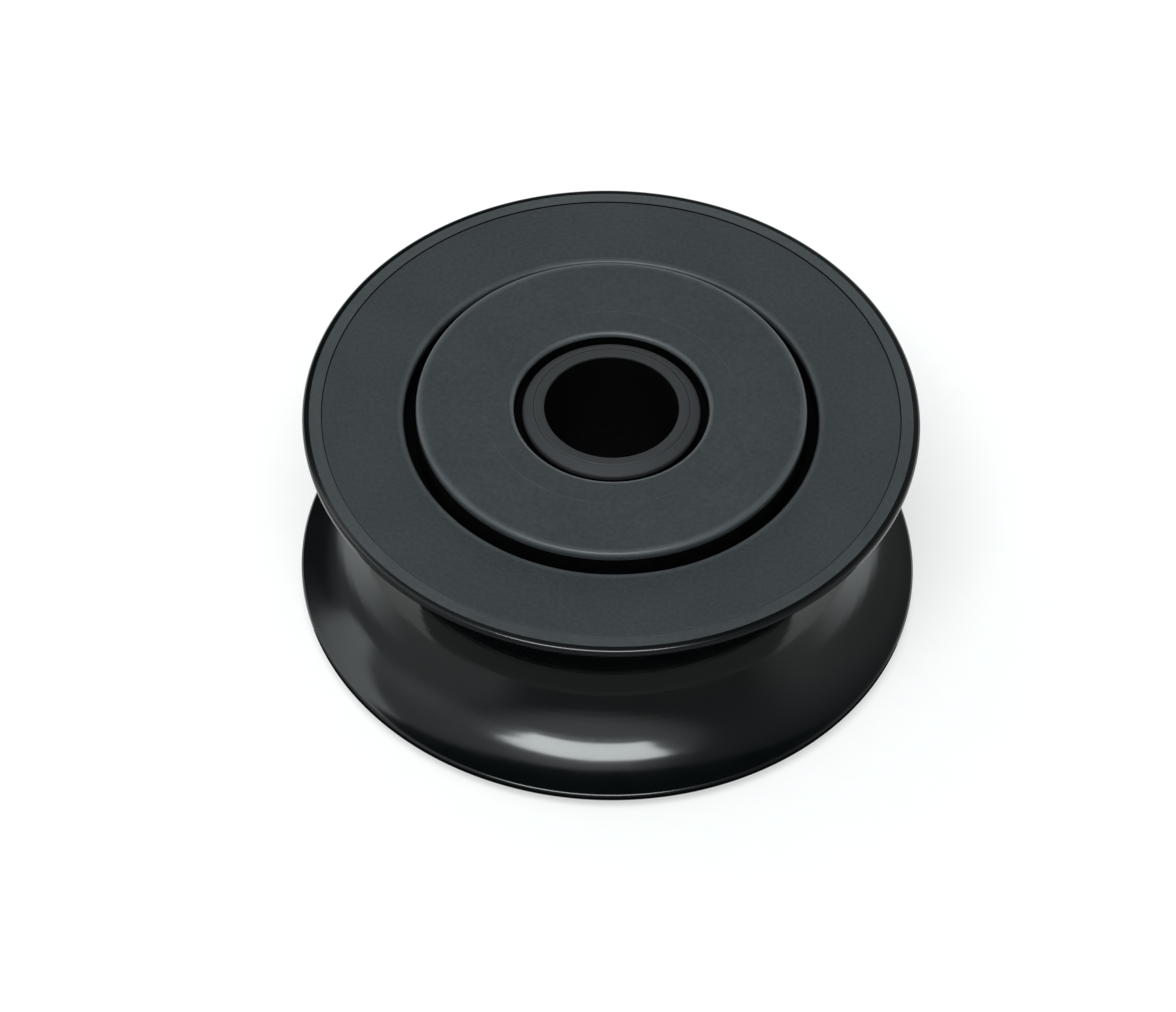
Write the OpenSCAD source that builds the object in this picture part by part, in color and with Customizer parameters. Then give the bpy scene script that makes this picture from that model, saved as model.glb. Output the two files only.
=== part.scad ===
/* [Sheave] */
// Outside diameter over the flanges
sheave_d = 46; // [41:0.5:60]
// Radius of the round rope groove
groove_r = 8; // [6:0.1:9]
// Wall between the ball cups and the floor of the rope groove
tread_wall = 3.2; // [1.5:0.01:3.5]
// Thickness of each flange at its outer edge
flange_edge_t = 0.59; // [0.55:0.01:2]
// Radial width of the bevel round each side face
bevel_w = 1.4; // [0.8:0.1:2.5]
// Height lost across that bevel
bevel_drop = 0.18; // [0.1:0.02:0.8]
// Width of the fine turned line where the bevel starts
line_w = 0.15; // [0.1:0.05:0.6]
// Depth of that turned line
line_depth = 0.12; // [0.05:0.01:0.3]
// Rounding on the outer corner of each flange
flange_edge_r = 0.25; // [0.1:0.05:0.3]
// Rounding on each lip of the rope groove
groove_lip_r = 0.25; // [0.1:0.05:0.3]
// Rounding on the edge of the recess round each disc
recess_edge_r = 0.25; // [0.1:0.05:0.6]

/* [Hub halves] */
// Diameter of the raised disc on each side
disc_d = 29.1; // [28.2:0.1:31]
// Thickness of each disc
disc_t = 3.0; // [2:0.1:4]
// Height of each disc above the side face of the sheave
disc_proud = 1.05; // [0.4:0.05:1.6]
// Rounding on the outer edge of each disc
disc_edge_r = 0.3; // [0.1:0.05:0.8]
// Radial gap between disc and sheave
running_gap = 0.9; // [0.3:0.05:1.5]
// Gap between the underside of a disc and the recess floor
side_gap = 0.35; // [0.2:0.05:0.6]

/* [Axle bush] */
// Bore, for a 10 mm axle with running clearance
bore_d = 10.05; // [8:0.05:10.4]
// Wall of the bush between its lips
bush_wall = 0.9; // [0.7:0.05:1.2]
// Overhang of each lip beyond that wall
lip_overhang = 0.7; // [0.4:0.05:0.9]
// Radial width of the bevel on each lip
lip_bevel_w = 0.95; // [0.5:0.05:1.1]
// Height lost across that bevel
lip_bevel_drop = 0.38; // [0.1:0.02:0.6]
// Height of each bush end above the face of its disc
bush_proud = 0.02; // [0:0.01:0.5]
// Depth of the seat that each lip lies in
seat_depth = 1.6; // [1:0.1:2.5]
// Radial gap round each lip in its seat
seat_gap = 0.64; // [0.3:0.02:1]
// Rounding on the edge of each seat
seat_edge_r = 0.3; // [0.05:0.05:0.4]
// Rounding on each end of the bore
bore_edge_r = 0.1; // [0.05:0.01:0.3]
// Rounding on the rim of each lip
lip_edge_r = 0.25; // [0.05:0.05:0.5]
// Radial slip fit of the bush in the hub halves
bush_fit = 0.02; // [0.01:0.01:0.08]

/* [Ball bearing] */
// Diameter of each ball
ball_d = 4; // [3.5:0.1:4.4]
// Diameter of the circle through the ball centres
pitch_d = 21.6; // [20.6:0.1:22]
// Least gap between neighbouring balls
ball_spacing = 0.15; // [0.05:0.05:0.6]
// Distance of each row from the middle of the sheave
row_offset = 3.0; // [2.4:0.1:3.6]
// Play between a ball and its tracks
ball_play = 0.06; // [0.04:0.01:0.1]
// Angle that each track wraps from the widest point of a ball, in degrees
track_wrap = 60; // [45:1:70]
// Relief on the open side of each track
track_relief = 0.15; // [0.05:0.05:0.4]

/* [Hidden] */
$fa = 3;
$fs = 0.2;

// Roundings are cut a touch wide, so that they cross the edges they blend instead of only touching them
rounding_slack = 1.001;

// Tracks: a cup in the sheave and a cone on each hub half, both centred on the ball
ball_r = ball_d / 2;
pitch_r = pitch_d / 2;
track_r = ball_r + ball_play;
shoulder = track_r * cos(track_wrap);
rib_r = pitch_r + shoulder;
cup_r = pitch_r + track_r + track_relief;
cone_r = pitch_r - shoulder;
nose_r = pitch_r - track_r - track_relief;
balls_per_row = floor(180 / asin((ball_d + ball_spacing) / pitch_d));

// Rope groove: round up to its centre, and straight from there to the flange edge
sheave_r = sheave_d / 2;
groove_centre_r = cup_r + tread_wall + groove_r;
groove_half_w = sqrt(pow(groove_r, 2) - pow(max(0, groove_centre_r - sheave_r), 2));

// Heights above the middle plane, from the groove outwards to the bush ends
flange_z = groove_half_w + flange_edge_t;
face_z = flange_z + bevel_drop;
disc_z = face_z + disc_proud;
bush_z = disc_z + bush_proud;
disc_under_z = disc_z - disc_t;
recess_z = disc_under_z - side_gap;
seat_z = disc_z - seat_depth;

// Radii of the discs, their recesses, the bush and its seats
line_r = sheave_r - bevel_w;
disc_r = disc_d / 2;
recess_r = disc_r + running_gap;
bore_r = bore_d / 2;
bush_r = bore_r + bush_wall;
lip_r = bush_r + lip_overhang;
land_r = lip_r - lip_bevel_w;
hub_bore_r = bush_r + bush_fit;
seat_r = lip_r + seat_gap;

function ball_name(row, i) = str(row, "_ball_", i < 10 ? "0" : "", i);
function ball_names(row) = [for (i = [1 : balls_per_row]) ball_name(row, i)];

function unit(v) = v / norm(v);
function both_sides(half) = concat(half, [for (i = [len(half) - 1 : -1 : 0]) [half[i].x, -half[i].y]]);

// Cutter that rounds the outside corner of a section, where u and v point away along its two edges
module round_corner(corner, u, v, radius) {
    half_angle = acos(u * v) / 2;
    tangent = radius / tan(half_angle);
    centre = corner + unit(u + v) * radius / sin(half_angle);
    difference() {
        polygon([corner - unit(u + v) * radius, corner + u * tangent, centre, corner + v * tangent]);
        translate(centre) circle(r = radius * rounding_slack);
    }
}

// Section of the rope groove
module groove_cut() {
    translate([groove_centre_r, 0]) circle(r = groove_r);
    translate([groove_centre_r, -groove_r]) square([sheave_r, 2 * groove_r]);
}

// Cutter that rounds the lip between the rope groove and the flange edge
module round_groove_lip() {
    centre_r = sheave_r - groove_lip_r;
    foot = [max(groove_centre_r, centre_r), 0];
    centre_z = sqrt(pow(groove_r + groove_lip_r, 2) - pow(foot.x - centre_r, 2));
    centre = [centre_r, centre_z];
    on_groove = foot + unit(centre - foot) * groove_r;
    difference() {
        polygon([
            [sheave_r + groove_lip_r, groove_half_w - groove_lip_r],
            [sheave_r + groove_lip_r, centre_z],
            centre,
            on_groove
        ]);
        translate(centre) circle(r = groove_lip_r * rounding_slack);
    }
}

// Edge breaks on one side of the sheave's section
module sheave_edges() {
    round_corner([recess_r, face_z], [1, 0], [0, -1], recess_edge_r);
    round_corner([sheave_r, flange_z], unit([-bevel_w, bevel_drop]), [0, -1], flange_edge_r);
    round_groove_lip();
}

// One-piece grooved wheel with a recess and a ball cup on each side of its central rib
module sheave() {
    half = [
        [rib_r, row_offset],
        [cup_r, row_offset],
        [cup_r, recess_z],
        [recess_r, recess_z],
        [recess_r, face_z],
        [line_r - line_w, face_z],
        [line_r, face_z - line_depth],
        [line_r, face_z],
        [sheave_r, flange_z]
    ];
    color("#43484a")
    rotate_extrude()
    difference() {
        polygon(both_sides(half));
        groove_cut();
        for (side = [-1, 1]) translate([pitch_r, side * row_offset]) circle(r = track_r);
        sheave_edges();
        mirror([0, 1]) sheave_edges();
    }
}

// Raised disc and ball cone in one piece, ending at the middle plane
module hub_half() {
    color("#474b4d")
    rotate_extrude()
    difference() {
        polygon([
            [hub_bore_r, 0],
            [nose_r, 0],
            [nose_r, row_offset],
            [cone_r, row_offset],
            [cone_r, disc_under_z],
            [disc_r, disc_under_z],
            [disc_r, disc_z],
            [seat_r, disc_z],
            [seat_r, seat_z],
            [hub_bore_r, seat_z]
        ]);
        translate([pitch_r, row_offset]) circle(r = track_r);
        round_corner([disc_r, disc_z], [-1, 0], [0, -1], disc_edge_r);
        round_corner([seat_r, disc_z], [1, 0], [0, -1], seat_edge_r);
    }
}

module front_hub_half() {
    hub_half();
}

module rear_hub_half() {
    mirror([0, 0, 1]) hub_half();
}

// Edge breaks on one end of the bush's section
module bush_edges() {
    round_corner([bore_r, bush_z], [1, 0], [0, -1], bore_edge_r);
    round_corner([lip_r, bush_z - lip_bevel_drop], unit([-lip_bevel_w, lip_bevel_drop]), [0, -1], lip_edge_r);
}

// Tubular bush whose two lips hold the hub halves together
module axle_bush() {
    half = [
        [bush_r, seat_z],
        [lip_r, seat_z],
        [lip_r, bush_z - lip_bevel_drop],
        [land_r, bush_z],
        [bore_r, bush_z]
    ];
    color("#4b494b")
    rotate_extrude()
    difference() {
        polygon(both_sides(half));
        bush_edges();
        mirror([0, 1]) bush_edges();
    }
}

module ball(i, z) {
    color("#e6e3da")
    rotate([0, 0, i * 360 / balls_per_row])
    translate([pitch_r, 0, z])
    sphere(d = ball_d);
}

module front_ball(i) {
    ball(i, row_offset);
}

module rear_ball(i) {
    ball(i, -row_offset);
}

sheave();
front_hub_half();
rear_hub_half();
axle_bush();
for (i = [1 : balls_per_row]) {
    front_ball(i);
    rear_ball(i);
}
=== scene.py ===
import math

import bpy
import numpy as np
from mathutils import Matrix, Vector


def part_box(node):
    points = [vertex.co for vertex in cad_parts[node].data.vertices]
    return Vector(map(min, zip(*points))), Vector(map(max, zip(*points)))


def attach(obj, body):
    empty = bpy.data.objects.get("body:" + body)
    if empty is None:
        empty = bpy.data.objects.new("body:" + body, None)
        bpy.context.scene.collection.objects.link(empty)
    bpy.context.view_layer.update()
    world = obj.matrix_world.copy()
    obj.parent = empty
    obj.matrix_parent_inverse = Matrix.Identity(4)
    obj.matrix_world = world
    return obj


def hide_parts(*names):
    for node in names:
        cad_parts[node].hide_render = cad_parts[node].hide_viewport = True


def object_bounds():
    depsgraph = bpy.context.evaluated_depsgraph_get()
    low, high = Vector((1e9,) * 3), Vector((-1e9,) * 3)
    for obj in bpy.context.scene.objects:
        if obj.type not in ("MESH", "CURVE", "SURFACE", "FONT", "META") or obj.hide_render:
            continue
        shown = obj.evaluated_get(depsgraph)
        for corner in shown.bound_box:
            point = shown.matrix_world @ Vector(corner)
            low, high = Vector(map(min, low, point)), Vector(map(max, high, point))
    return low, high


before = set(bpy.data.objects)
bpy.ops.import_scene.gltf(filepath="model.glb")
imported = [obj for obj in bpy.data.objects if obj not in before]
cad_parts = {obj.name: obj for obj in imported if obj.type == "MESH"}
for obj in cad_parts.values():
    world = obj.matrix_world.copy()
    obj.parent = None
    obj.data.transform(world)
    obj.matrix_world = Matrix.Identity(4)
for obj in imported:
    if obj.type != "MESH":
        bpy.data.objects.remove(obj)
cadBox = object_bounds()
mm = 0.001  # lengths below are in mm unless a name says otherwise
print("frame loaded,", len(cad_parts), "nodes")


def linear(hexColour):  # sRGB hex to linear RGBA
    parts = [int(hexColour[i:i + 2], 16) / 255 for i in (1, 3, 5)]
    return [c / 12.92 if c <= 0.04045 else ((c + 0.055) / 1.055) ** 2.4 for c in parts] + [1]


def addNode(tree, kind, settings=None, inputs=None):  # inputs take plain values, or sockets to link
    node = tree.nodes.new(kind)
    for name, value in (settings or {}).items():
        setattr(node, name, value)
    for name, value in (inputs or {}).items():
        if isinstance(value, bpy.types.NodeSocket):
            tree.links.new(value, node.inputs[name])
        else:
            node.inputs[name].default_value = value
    return node


def newMaterial(name):
    material = bpy.data.materials.new(name)
    material.use_nodes = True
    material.node_tree.nodes.clear()
    return material, material.node_tree


def perMetre(sizeMm):  # noise scale for spots of that size
    return 1 / (sizeMm * mm)


def ringScale(pitchMm):  # wave scale for rings or bands of that pitch
    return 2 * math.pi / (20 * pitchMm * mm)


colourA, colourB, colourOut = 6, 7, 2  # the colour sockets of a mix node

# Black acetal turned on a lathe: a satin grey sheen with faint rings, paler where edges were handled
turnedLook = {
    "colour": "#34383b", "darker": "#181c1f", "scuffed": "#505558",
    "ior": 1.48, "roughness": (0.42, 0.5),
    "feedMm": 0.4,     # real feed is near 0.1, drawn coarser so that it shows
    "grainMm": 0.3,    # fine tearing left by the tool
    "cloudMm": 6.0,    # patches from handling
    "reliefMm": 0.006, "wearShare": 0.6,
}
# Black acetal moulded against a fine eroded mould: even satin grain, a touch paler on its edges
mouldedLook = {
    "colour": "#35393c", "darker": "#191d20", "scuffed": "#53585b",
    "ior": 1.48, "roughness": (0.42, 0.5),
    "grainMm": 0.3,    # eroded grain is near 0.05, drawn coarser so that it shows
    "cloudMm": 5.0, "reliefMm": 0.008, "wearShare": 0.7,
}


def satinAcetal(name, look):
    material, tree = newMaterial(name)
    place = addNode(tree, "ShaderNodeTexCoord").outputs["Object"]
    grain = addNode(tree, "ShaderNodeTexNoise", None,
                    {"Vector": place, "Scale": perMetre(look["grainMm"]), "Detail": 3.0})
    cloud = addNode(tree, "ShaderNodeTexNoise", None,
                    {"Vector": place, "Scale": perMetre(look["cloudMm"]), "Detail": 3.0})
    mottled = addNode(tree, "ShaderNodeMix", {"data_type": "RGBA"},
                      {0: grain.outputs["Fac"], colourA: linear(look["darker"]), colourB: linear(look["colour"])})
    wear = addNode(tree, "ShaderNodeAttribute", {"attribute_name": "edgeWear"})
    patchy = addNode(tree, "ShaderNodeMath", {"operation": "MULTIPLY"},
                     {0: wear.outputs["Fac"], 1: cloud.outputs["Fac"]})
    worn = addNode(tree, "ShaderNodeMath", {"operation": "MULTIPLY"},
                   {0: patchy.outputs[0], 1: look["wearShare"]})
    tinted = addNode(tree, "ShaderNodeMix", {"data_type": "RGBA"},
                     {0: worn.outputs[0], colourA: mottled.outputs[colourOut], colourB: linear(look["scuffed"])})
    rough = addNode(tree, "ShaderNodeMapRange", None,
                    {"Value": cloud.outputs["Fac"], "From Min": 0.3, "From Max": 0.7,
                     "To Min": look["roughness"][0], "To Max": look["roughness"][1]})
    relief = grain.outputs["Fac"]
    if "feedMm" in look:  # rings of the lathe tool
        rings = addNode(tree, "ShaderNodeTexWave", {"wave_type": "RINGS", "rings_direction": "Z"},
                        {"Vector": place, "Scale": ringScale(look["feedMm"]),
                         "Distortion": 0.8, "Detail": 2.0, "Detail Scale": 0.3})
        relief = addNode(tree, "ShaderNodeMath", {"operation": "ADD"},
                         {0: rings.outputs["Fac"], 1: relief}).outputs[0]
    bump = addNode(tree, "ShaderNodeBump", None,
                   {"Strength": 0.5, "Distance": look["reliefMm"] * mm, "Height": relief})
    shader = addNode(tree, "ShaderNodeBsdfPrincipled", None,
                     {"Base Color": tinted.outputs[colourOut], "Roughness": rough.outputs[0],
                      "IOR": look["ior"], "Normal": bump.outputs[0]})
    addNode(tree, "ShaderNodeOutputMaterial", None, {"Surface": shader.outputs[0]})
    return material


# Black acetal polished by the rope: near black, with clear white reflections and hairlines round the groove
polishedLook = {
    "colour": "#030506", "hazed": "#080b0c", "ior": 1.48, "roughness": (0.12, 0.16),
    "lineMm": 0.35,    # rope hairlines are finer, drawn coarser so that they show
    "cloudMm": 4.0, "reliefMm": 0.004,
}


def polishedAcetal():
    look = polishedLook
    material, tree = newMaterial("black acetal, polished")
    place = addNode(tree, "ShaderNodeTexCoord").outputs["Object"]
    lines = addNode(tree, "ShaderNodeTexWave", {"wave_type": "BANDS", "bands_direction": "Z"},
                    {"Vector": place, "Scale": ringScale(look["lineMm"]),
                     "Distortion": 2.0, "Detail": 3.0, "Detail Scale": 0.3})
    cloud = addNode(tree, "ShaderNodeTexNoise", None,
                    {"Vector": place, "Scale": perMetre(look["cloudMm"]), "Detail": 4.0})
    hazed = addNode(tree, "ShaderNodeMix", {"data_type": "RGBA"},
                    {0: cloud.outputs["Fac"], colourA: linear(look["colour"]), colourB: linear(look["hazed"])})
    rough = addNode(tree, "ShaderNodeMapRange", None,
                    {"Value": cloud.outputs["Fac"], "From Min": 0.3, "From Max": 0.7,
                     "To Min": look["roughness"][0], "To Max": look["roughness"][1]})
    bump = addNode(tree, "ShaderNodeBump", None,
                   {"Strength": 0.3, "Distance": look["reliefMm"] * mm, "Height": lines.outputs["Fac"]})
    shader = addNode(tree, "ShaderNodeBsdfPrincipled", None,
                     {"Base Color": hazed.outputs[colourOut], "Roughness": rough.outputs[0],
                      "IOR": look["ior"], "Normal": bump.outputs[0]})
    addNode(tree, "ShaderNodeOutputMaterial", None, {"Surface": shader.outputs[0]})
    return material


# Painted shade: black acetal, matt and close to black, laid where shade falls in the bearing gaps, the recesses,
# the bore and the bottoms of fine turned lines
paintedShadeLook = {"colour": "#010102", "spots": "#040405", "ior": 1.48, "shine": 0.06, "roughness": (0.6, 0.8),
           "spotMm": 0.8}
# Black acetal in the fine turned line, where dust has settled: dull dark grey without a gleam
lineLook = {"colour": "#34383b", "spots": "#3c4043", "ior": 1.48, "shine": 0.05, "roughness": (0.7, 0.8),
            "spotMm": 0.4}


def dullAcetal(name, look):
    material, tree = newMaterial(name)
    place = addNode(tree, "ShaderNodeTexCoord").outputs["Object"]
    spots = addNode(tree, "ShaderNodeTexNoise", None,
                    {"Vector": place, "Scale": perMetre(look["spotMm"]), "Detail": 3.0})
    spotted = addNode(tree, "ShaderNodeMix", {"data_type": "RGBA"},
                      {0: spots.outputs["Fac"], colourA: linear(look["colour"]), colourB: linear(look["spots"])})
    rough = addNode(tree, "ShaderNodeMapRange", None,
                    {"Value": spots.outputs["Fac"], "From Min": 0.3, "From Max": 0.7,
                     "To Min": look["roughness"][0], "To Max": look["roughness"][1]})
    shader = addNode(tree, "ShaderNodeBsdfPrincipled", None,
                     {"Base Color": spotted.outputs[colourOut], "Roughness": rough.outputs[0],
                      "IOR": look["ior"], "Specular IOR Level": look["shine"]})
    addNode(tree, "ShaderNodeOutputMaterial", None, {"Surface": shader.outputs[0]})
    return material


# Aluminium, turned and hard anodised black: a dull dark grey metal with fine rings
anodisedLook = {
    "colour": "#4f5052", "darker": "#434446", "roughness": (0.7, 0.8),
    "feedMm": 0.2,     # real feed is near 0.05, drawn coarser so that it shows
    "grainMm": 0.15, "reliefMm": 0.004,
}


def anodisedAluminium():
    look = anodisedLook
    material, tree = newMaterial("aluminium, hard anodised black")
    place = addNode(tree, "ShaderNodeTexCoord").outputs["Object"]
    rings = addNode(tree, "ShaderNodeTexWave", {"wave_type": "RINGS", "rings_direction": "Z"},
                    {"Vector": place, "Scale": ringScale(look["feedMm"]), "Distortion": 0.5, "Detail": 1.0})
    grain = addNode(tree, "ShaderNodeTexNoise", None,
                    {"Vector": place, "Scale": perMetre(look["grainMm"]), "Detail": 2.0})
    mottled = addNode(tree, "ShaderNodeMix", {"data_type": "RGBA"},
                      {0: grain.outputs["Fac"], colourA: linear(look["darker"]), colourB: linear(look["colour"])})
    rough = addNode(tree, "ShaderNodeMapRange", None,
                    {"Value": grain.outputs["Fac"], "From Min": 0.3, "From Max": 0.7,
                     "To Min": look["roughness"][0], "To Max": look["roughness"][1]})
    bump = addNode(tree, "ShaderNodeBump", None,
                   {"Strength": 0.4, "Distance": look["reliefMm"] * mm, "Height": rings.outputs["Fac"]})
    shader = addNode(tree, "ShaderNodeBsdfPrincipled", None,
                     {"Base Color": mottled.outputs[colourOut], "Metallic": 1.0,
                      "Roughness": rough.outputs[0], "Normal": bump.outputs[0]})
    addNode(tree, "ShaderNodeOutputMaterial", None, {"Surface": shader.outputs[0]})
    return material


# Natural acetal balls, ground smooth: milky white and glossy
ballLook = {"colour": "#e6e3da", "creamy": "#dcd7ca", "ior": 1.48, "roughness": (0.16, 0.24), "cloudMm": 1.5}


def naturalAcetal():
    look = ballLook
    material, tree = newMaterial("natural acetal, ground")
    place = addNode(tree, "ShaderNodeTexCoord").outputs["Object"]
    cloud = addNode(tree, "ShaderNodeTexNoise", None,
                    {"Vector": place, "Scale": perMetre(look["cloudMm"]), "Detail": 2.0})
    milky = addNode(tree, "ShaderNodeMix", {"data_type": "RGBA"},
                    {0: cloud.outputs["Fac"], colourA: linear(look["colour"]), colourB: linear(look["creamy"])})
    rough = addNode(tree, "ShaderNodeMapRange", None,
                    {"Value": cloud.outputs["Fac"], "From Min": 0.3, "From Max": 0.7,
                     "To Min": look["roughness"][0], "To Max": look["roughness"][1]})
    shader = addNode(tree, "ShaderNodeBsdfPrincipled", None,
                     {"Base Color": milky.outputs[colourOut], "Roughness": rough.outputs[0],
                      "IOR": look["ior"]})
    addNode(tree, "ShaderNodeOutputMaterial", None, {"Surface": shader.outputs[0]})
    return material


turned = satinAcetal("black acetal, satin turned", turnedLook)
polished = polishedAcetal()
paintedShade = dullAcetal("black acetal, greased", paintedShadeLook)
dusty = dullAcetal("black acetal, dusty", lineLook)
moulded = satinAcetal("black acetal, moulded satin", mouldedLook)
anodised = anodisedAluminium()
natural = naturalAcetal()
print("materials made")


# Lathe work: profiles are (radius, height, wear) in mm and run anticlockwise round the section
samePoint = 1e-4  # points closer than this are one


def arc(centre, radius, start, end, steps, wear=0.0):
    swing = [math.radians(start + (end - start) * i / steps) for i in range(steps + 1)]
    return [(centre[0] + radius * math.cos(a), centre[1] + radius * math.sin(a), wear) for a in swing]


def roundOff(before, corner, after, radius, steps=6, fade=0.3):  # rounded, worn corner with a fade on both sides
    at = Vector(corner)
    u = (Vector(before) - at).normalized()
    v = (Vector(after) - at).normalized()
    half = math.acos(max(-1, min(1, u.dot(v)))) / 2
    reach = radius / math.tan(half)
    centre = at + (u + v).normalized() * radius / math.sin(half)
    start = at + u * reach - centre
    end = at + v * reach - centre
    startAngle = math.degrees(math.atan2(start.y, start.x))
    swing = (math.degrees(math.atan2(end.y, end.x)) - startAngle + 180) % 360 - 180
    first = at + u * (reach + fade)
    last = at + v * (reach + fade)
    curve = arc(centre, radius, startAngle, startAngle + swing, steps, 1.0)
    return [(first.x, first.y, 0.0)] + curve + [(last.x, last.y, 0.0)]


def otherSide(runs):  # the same runs on the other side of the middle plane
    return [(m, [(r, -z, w) for r, z, w in reversed(run)]) for m, run in reversed(runs)]


def braced(points, finishes, near=0.04, least=0.25):  # points beside each corner keep wide bands shaded flat
    better, kinds = [], []
    for i, end in enumerate(points):
        start = points[i - 1]
        long = math.dist(start[:2], end[:2])
        if long > least:
            for share in (near / long, 1 - near / long):
                better.append(tuple(a + (b - a) * share for a, b in zip(start, end)))
                kinds.append(finishes[i])
        better.append(end)
        kinds.append(finishes[i])
    return better, kinds


def lathe(name, runs, turns=360):
    points, finishes = [], []
    for material, run in runs:
        for point in run:
            if not points or math.dist(point[:2], points[-1][:2]) > samePoint:
                points.append(point)
                finishes.append(material)  # finish of the band that ends at this point
    if math.dist(points[0][:2], points[-1][:2]) < samePoint:
        points.pop()
        finishes[0] = finishes.pop()
    points, finishes = braced(points, finishes)
    r, z, wear = np.array(points).T
    count = len(points)
    angle = np.arange(turns) * 2 * math.pi / turns
    x = np.outer(np.cos(angle), r)
    y = np.outer(np.sin(angle), r)
    corners = np.stack([x, y, np.broadcast_to(z, x.shape)], 2).reshape(-1, 3) * mm
    here = np.arange(turns)[:, None] * count
    there = (np.arange(turns)[:, None] + 1) % turns * count
    i = np.arange(count)
    j = (i - 1) % count
    quads = np.stack([here + j, there + j, there + i, here + i], 2).reshape(-1, 4)
    mesh = bpy.data.meshes.new(name)
    mesh.from_pydata(corners.tolist(), [], quads.tolist())
    kinds = list(dict.fromkeys(finishes))
    for material in kinds:
        mesh.materials.append(material)
    mesh.polygons.foreach_set("material_index", np.tile([kinds.index(f) for f in finishes], turns))
    mesh.polygons.foreach_set("use_smooth", np.ones(len(quads), bool))
    mesh.attributes.new("edgeWear", "FLOAT", "POINT").data.foreach_set("value", np.tile(wear, turns))
    mesh.set_sharp_from_angle(angle=math.radians(25))  # corners stay crisp, roundings smooth
    mesh.update()
    piece = bpy.data.objects.new(name, mesh)
    bpy.context.scene.collection.objects.link(piece)
    print(name, len(quads) * 2, "triangles")
    return piece


def standFor(piece, node, body):
    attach(piece, body)
    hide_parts(node)


# Ball tracks in the wheel and on the discs
bearing = {"pitchR": 10.8, "rowZ": 3.0, "trackR": 2.06, "ribR": 11.83, "cupR": 13.01, "coneR": 9.77, "noseR": 8.59}

# Grooved wheel
wheel = {
    "outerR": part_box("sheave")[1].x / mm, "faceZ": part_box("sheave")[1].z / mm,
    "grooveR": 8.0, "grooveCentreR": 24.21, "lipR": 0.25,
    "bevelW": 1.4, "bevelDrop": 0.18, "edgeR": 0.25, "polishW": 0.5, "bevelWear": 0.4,
    "lineW": 0.15, "lineDepth": 0.12, "paintedShadeShare": 0.45,  # fine turned line, painted shade at its bottom
    "recessR": 15.45, "recessEdgeR": 0.25, "recessDepth": 2.3,
}


def makeWheel():
    w, b = wheel, bearing
    outerR, faceZ, recessR = w["outerR"], w["faceZ"], w["recessR"]
    recessZ = faceZ - w["recessDepth"]
    lineR = outerR - w["bevelW"]
    groove = (w["grooveCentreR"], 0.0)
    lipR = outerR - w["lipR"]
    lip = (lipR, math.sqrt((w["grooveR"] + w["lipR"]) ** 2 - (groove[0] - lipR) ** 2))
    lean = math.degrees(math.atan2(lip[1], lip[0] - groove[0]))  # where the groove meets its lip
    edge = (outerR, faceZ - w["bevelDrop"])
    polishR = outerR - w["polishW"]  # the polish runs over the corner to here
    polishZ = faceZ - w["bevelDrop"] * (polishR - lineR) / w["bevelW"]
    lineIn, lineMid = lineR - w["lineW"], lineR - w["lineW"] * w["paintedShadeShare"]
    lineZ = faceZ - w["lineDepth"]
    paintedShadeZ = lineZ + w["lineDepth"] * w["paintedShadeShare"]
    trackEnd = math.degrees(math.acos((b["ribR"] - b["pitchR"]) / b["trackR"]))
    upper = [
        (polished, arc(groove, w["grooveR"], 180, lean, steps=60)),
        (polished, arc(lip, w["lipR"], lean - 180, 0, steps=8)),
        (polished, roundOff((outerR, lip[1]), edge, (lineR, faceZ), w["edgeR"], steps=12, fade=0.05)),
        (polished, [(polishR, polishZ, w["bevelWear"])]),
        (turned, [(lineR, faceZ, w["bevelWear"])]),
        # painted shade: the bottom of the fine line is near black where shade falls in it
        (paintedShade, [(lineR, lineZ, 0.0), (lineMid, paintedShadeZ, 0.0)]),
        (dusty, [(lineIn, faceZ, 0.0)]),
        (turned, roundOff((lineR, faceZ), (recessR, faceZ), (recessR, recessZ), w["recessEdgeR"])),
        # painted shade: the recess, the cup and the ball track are near black where shade falls in the gap
        (paintedShade, [(recessR, recessZ, 0.0), (b["cupR"], recessZ, 0.0), (b["cupR"], b["rowZ"], 0.0)]),
        (paintedShade, arc((b["pitchR"], b["rowZ"]), b["trackR"], 0, -trackEnd, steps=16)),
    ]
    standFor(lathe("grooved_wheel", otherSide(upper) + upper), "sheave", "sheave")


makeWheel()

# Side discs with their ball cones
disc = {
    "outerR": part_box("front_hub_half")[1].x / mm, "faceZ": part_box("front_hub_half")[1].z / mm,
    "thick": 3.0, "edgeR": 0.3, "satinDown": 0.35,  # the satin ends that far below the rounding; below it the wall is painted shade
    "boreR": 5.945, "seatR": 7.265, "seatDepth": 1.6, "seatEdgeR": 0.3,
    "ringR": 9.5, "ringW": 0.12, "ringDepth": 0.015,  # faint ring left by the mould's insert
}


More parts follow.
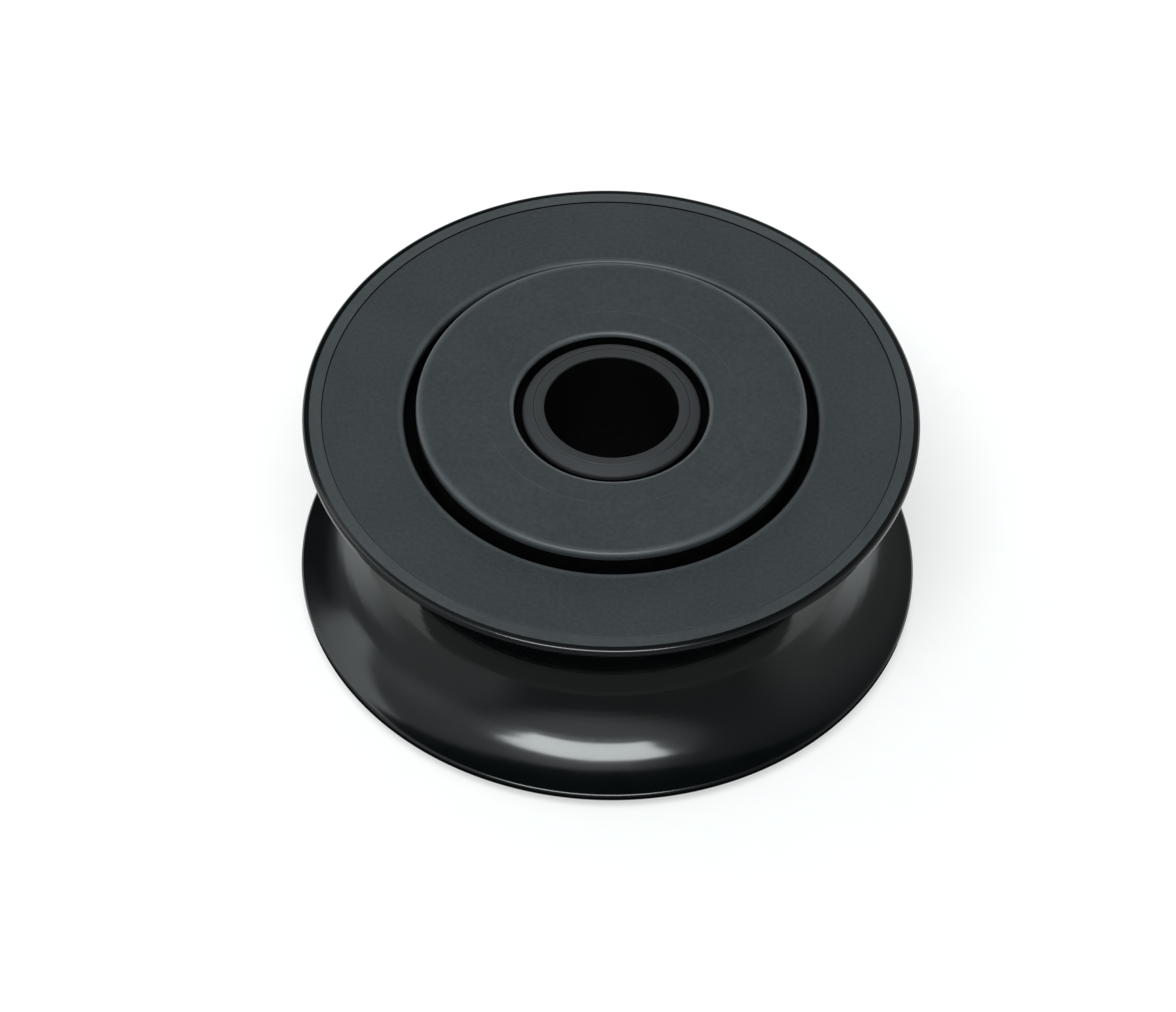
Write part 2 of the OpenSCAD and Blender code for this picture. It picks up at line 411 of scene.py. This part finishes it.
def makeDiscs():
    d, b = disc, bearing
    outerR, faceZ = d["outerR"], d["faceZ"]
    underZ = faceZ - d["thick"]
    seatZ = faceZ - d["seatDepth"]
    satinZ = faceZ - d["edgeR"] - d["satinDown"]
    ringIn, ringOut = d["ringR"], d["ringR"] + d["ringW"]
    ringMid = (ringIn + ringOut) / 2
    coneStart = math.degrees(math.acos((b["coneR"] - b["pitchR"]) / b["trackR"]))
    runs = [
        # painted shade: the bore, the ball cone, the underside and the wall that faces the gap are near black
        (paintedShade, [(d["boreR"], 0.0, 0.0), (b["noseR"], 0.0, 0.0), (b["noseR"], b["rowZ"], 0.0)]),
        (paintedShade, arc((b["pitchR"], b["rowZ"]), b["trackR"], 180, coneStart, steps=16)),
        (paintedShade, [(b["coneR"], underZ, 0.0), (outerR, underZ, 0.0), (outerR, satinZ, 0.0)]),
        (moulded, roundOff((outerR, underZ), (outerR, faceZ), (0, faceZ), d["edgeR"])),
        (moulded, [(ringOut, faceZ, 0.0), (ringMid, faceZ - d["ringDepth"], 0.0), (ringIn, faceZ, 0.0)]),
        (moulded, roundOff((outerR, faceZ), (d["seatR"], faceZ), (d["seatR"], seatZ), d["seatEdgeR"], fade=0.06)),
        (paintedShade, [(d["seatR"], seatZ, 0.0), (d["boreR"], seatZ, 0.0)]),
    ]
    standFor(lathe("front_disc", runs), "front_hub_half", "hub")
    standFor(lathe("rear_disc", otherSide(runs)), "rear_hub_half", "hub")


makeDiscs()

# Axle bush with its two bevelled lips
bush = {
    "lipR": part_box("axle_bush")[1].x / mm, "endZ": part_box("axle_bush")[1].z / mm,
    "boreR": 5.025, "wallR": 5.925, "bevelW": 0.95, "bevelDrop": 0.38, "boreEdgeR": 0.1, "lipEdgeR": 0.25,
    "rimDown": 0.1,    # the anodised rim ends that far below its rounding; below it, painted shade
    "lineW": 0.16, "lineDepth": 0.08, "lineLowest": 0.8,  # fine turned line between land and bevel, painted shade at its bottom
}


def makeBush():
    u = bush
    lipR, endZ, boreR = u["lipR"], u["endZ"], u["boreR"]
    seatZ = disc["faceZ"] - disc["seatDepth"]
    landR = lipR - u["bevelW"]
    bevelZ = endZ - u["bevelDrop"]
    rimZ = bevelZ - u["lipEdgeR"] - u["rimDown"]
    slope = u["bevelDrop"] / u["bevelW"]
    upper = [
        # painted shade: the wall below the lip is near black where it faces the gap
        (paintedShade, [(u["wallR"], seatZ, 0.0), (lipR, seatZ, 0.0), (lipR, rimZ, 0.0)]),
        (anodised, roundOff((lipR, seatZ), (lipR, bevelZ), (landR, endZ), u["lipEdgeR"], steps=8, fade=0.05)),
        (anodised, [(landR + u["lineW"], endZ - slope * u["lineW"], 0.0)]),
        # painted shade at the bottom of the fine line
        (paintedShade, [(landR + u["lineW"] * u["lineLowest"], endZ - u["lineDepth"], 0.0)]),
        (anodised, [(landR, endZ, 0.0)]),
        (anodised, roundOff((landR, endZ), (boreR, endZ), (boreR, 0), u["boreEdgeR"], fade=0.1)),
    ]
    # painted shade: the bore is near black
    bore = (paintedShade, [(boreR, seatZ, 0.0), (boreR, -seatZ, 0.0)])
    runs = upper + [bore] + otherSide(upper)
    standFor(lathe("bush", runs, turns=240), "axle_bush", "hub")


makeBush()

# The balls keep their own solids
for name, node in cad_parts.items():
    if "_ball_" in name:
        node.data.materials.clear()
        node.data.materials.append(natural)
print("pieces made")

# Camera at the photo's angle
shot = {"elevation": 48.8, "roll": 1.45, "distanceM": 1.104, "lens": 451.7, "sensor": 36.0,
        "aimRightMm": -1.59, "aimUpMm": -0.967}


def makeCamera():
    tilt = math.radians(shot["elevation"])
    back = Vector((0, -math.cos(tilt), math.sin(tilt)))
    turn = (-back).to_track_quat("-Z", "Y").to_matrix() @ Matrix.Rotation(math.radians(shot["roll"]), 3, "Z")
    aim = turn @ Vector((shot["aimRightMm"], shot["aimUpMm"], 0)) * mm
    camera = bpy.data.objects.new("camera", bpy.data.cameras.new("camera"))
    camera.data.lens = shot["lens"]
    camera.data.sensor_width = shot["sensor"]
    camera.data.clip_start = 0.01
    camera.matrix_world = Matrix.Translation(aim + back * shot["distanceM"]) @ turn.to_4x4()
    bpy.context.scene.collection.objects.link(camera)
    bpy.context.scene.camera = camera


makeCamera()

# Floor: a matt white paper sweep, and a grey card in front, black beside the part, that only reflections see: a
# painted reflection, so the groove mirrors dark surroundings and painted shade beside the part instead of the white
# floor
floorLook = {"colour": "#f4f4f3", "fibre": "#eeeeed", "fibreMm": 2.0, "roughness": 0.9, "halfM": 6.0,
             "glow": 0.55}  # share of even white that camera and reflections see, so the shadow stays pale
card = {"rings": (23.2, 33.0, 900.0), "finishes": {"black card, matt": "#050505", "grey card, matt": "#7c7c7c"},
        "halfAngle": 75.0, "steps": 48, "above": 0.05}


def makeFloor():
    look = floorLook
    material, tree = newMaterial("white paper, matt")
    place = addNode(tree, "ShaderNodeTexCoord").outputs["Object"]
    fibre = addNode(tree, "ShaderNodeTexNoise", None, {"Vector": place, "Scale": perMetre(look["fibreMm"])})
    paper = addNode(tree, "ShaderNodeMix", {"data_type": "RGBA"},
                    {0: fibre.outputs["Fac"], colourA: linear(look["colour"]), colourB: linear(look["fibre"])})
    shader = addNode(tree, "ShaderNodeBsdfPrincipled", None,
                     {"Base Color": paper.outputs[colourOut], "Roughness": look["roughness"],
                      "Specular IOR Level": 0.0})
    ray = addNode(tree, "ShaderNodeLightPath").outputs
    seen = addNode(tree, "ShaderNodeMath", {"operation": "MAXIMUM"},
                   {0: ray["Is Camera Ray"], 1: ray["Is Glossy Ray"]})
    seen = addNode(tree, "ShaderNodeMath", {"operation": "MAXIMUM"},
                   {0: seen.outputs[0], 1: ray["Is Transmission Ray"]})
    share = addNode(tree, "ShaderNodeMath", {"operation": "MULTIPLY"}, {0: seen.outputs[0], 1: look["glow"]})
    white = addNode(tree, "ShaderNodeEmission", None, {"Strength": 1.0})
    lifted = addNode(tree, "ShaderNodeMixShader", None,
                     {0: share.outputs[0], 1: shader.outputs[0], 2: white.outputs[0]})
    addNode(tree, "ShaderNodeOutputMaterial", None, {"Surface": lifted.outputs[0]})
    h, z = look["halfM"], cadBox[0].z
    mesh = bpy.data.meshes.new("floor")
    mesh.from_pydata([(-h, -h, z), (h, -h, z), (h, h, z), (-h, h, z)], [], [(0, 1, 2, 3)])
    mesh.materials.append(material)
    floor = bpy.data.objects.new("floor", mesh)
    bpy.context.scene.collection.objects.link(floor)


def makeCard():
    steps, rings = card["steps"], card["rings"]
    z = cadBox[0].z + card["above"] * mm
    corners, faces, kinds = [], [], []
    for i in range(steps + 1):
        a = math.radians(-90 - card["halfAngle"] + 2 * card["halfAngle"] * i / steps)
        corners += [(r * math.cos(a) * mm, r * math.sin(a) * mm, z) for r in rings]
    for i in range(steps):
        for k in range(len(rings) - 1):
            at = i * len(rings) + k
            faces.append((at, at + 1, at + len(rings) + 1, at + len(rings)))
            kinds.append(k)
    mesh = bpy.data.meshes.new("card")
    mesh.from_pydata(corners, [], faces)
    for name, colour in card["finishes"].items():
        material, tree = newMaterial(name)
        shader = addNode(tree, "ShaderNodeBsdfDiffuse", None, {"Color": linear(colour)})
        addNode(tree, "ShaderNodeOutputMaterial", None, {"Surface": shader.outputs[0]})
        mesh.materials.append(material)
    mesh.polygons.foreach_set("material_index", kinds)
    piece = bpy.data.objects.new("card", mesh)
    # seen by reflections only: a painted reflection of dark surroundings, black where shade lies beside the part
    piece.visible_camera = piece.visible_diffuse = piece.visible_shadow = piece.visible_transmission = False
    bpy.context.scene.collection.objects.link(piece)


makeFloor()
makeCard()

# Lights that face straight down, with places and sizes in metres and the radiance of their faces
daylight = linear("#f8ffff")  # a little cool
lamps = {
    "softbox": {"place": (-0.28, -1.62, 3.0), "size": (2.2, 1.25), "radiance": 12.5},
    "sidePanel": {"place": (-2.4, 1.65, 3.0), "size": (3.4, 1.1), "radiance": 1.65},
}
# Studio walls: a white backdrop behind and beside the part, up to about 20 degrees, and a dim room in front
walls = {"dim": 0.2, "dimBehind": 0.04, "white": 1.8,
         "sideFrom": -0.05, "sideTo": 0.7, "topFrom": 0.29, "topTo": 0.4}
# Brighter parts of the room: the way they lie, the cosines at which they start and are full, and their radiance
brightParts = {
    "left wall": {"lies": (-1, 0, 0), "start": 0.5, "full": 0.75, "radiance": 0.4},
    "right wall": {"lies": (0.7, 0.5, 0), "start": 0.3, "full": 0.65, "radiance": 0.32},
    "ceiling": {"lies": (-0.35, 0, 0.94), "start": 0.8, "full": 0.97, "radiance": 0.5},
    "spill round the softbox": {"lies": (-0.05, -0.61, 0.79), "start": 0.8, "full": 0.97, "radiance": 0.9},
}


def makeLights():
    for name, lamp in lamps.items():
        light = bpy.data.lights.new(name, "AREA")
        light.shape = "RECTANGLE"
        light.size, light.size_y = lamp["size"]
        light.energy = lamp["radiance"] * math.pi * light.size * light.size_y
        light.color = daylight[:3]
        holder = bpy.data.objects.new(name, light)
        holder.location = lamp["place"]
        holder.visible_camera = False
        bpy.context.scene.collection.objects.link(holder)


def makeWalls():
    w = walls
    world = bpy.data.worlds.new("studio")
    world.use_nodes = True
    tree = world.node_tree
    tree.nodes.clear()
    way = addNode(tree, "ShaderNodeTexCoord").outputs["Generated"]
    parts = addNode(tree, "ShaderNodeSeparateXYZ", None, {0: way}).outputs
    behind = parts["Y"]
    side = addNode(tree, "ShaderNodeMapRange", {"interpolation_type": "SMOOTHSTEP"},
                   {"Value": behind, "From Min": w["sideFrom"], "From Max": w["sideTo"],
                    "To Min": 0.0, "To Max": w["white"]})
    top = addNode(tree, "ShaderNodeMapRange", {"interpolation_type": "SMOOTHSTEP"},
                  {"Value": parts["Z"], "From Min": w["topFrom"], "From Max": w["topTo"],
                   "To Min": 1.0, "To Max": 0.0})
    dim = addNode(tree, "ShaderNodeMapRange", None,
                  {"Value": behind, "From Min": 0.0, "From Max": 0.5, "To Min": w["dim"], "To Max": w["dimBehind"]})
    room = dim
    for part in brightParts.values():
        along = addNode(tree, "ShaderNodeVectorMath", {"operation": "DOT_PRODUCT"}, {0: way, 1: part["lies"]})
        bright = addNode(tree, "ShaderNodeMapRange", {"interpolation_type": "SMOOTHSTEP"},
                         {"Value": along.outputs["Value"], "From Min": part["start"], "From Max": part["full"],
                          "To Min": 0.0, "To Max": part["radiance"]})
        room = addNode(tree, "ShaderNodeMath", {"operation": "ADD"}, {0: room.outputs[0], 1: bright.outputs[0]})
    glow = addNode(tree, "ShaderNodeMath", {"operation": "MULTIPLY_ADD"},
                   {0: side.outputs[0], 1: top.outputs[0], 2: room.outputs[0]})
    background = addNode(tree, "ShaderNodeBackground", None, {"Color": daylight, "Strength": glow.outputs[0]})
    addNode(tree, "ShaderNodeOutputWorld", None, {"Surface": background.outputs[0]})
    bpy.context.scene.world = world


makeLights()
makeWalls()
bpy.context.scene.view_settings.view_transform = "Standard"
print("stage set")
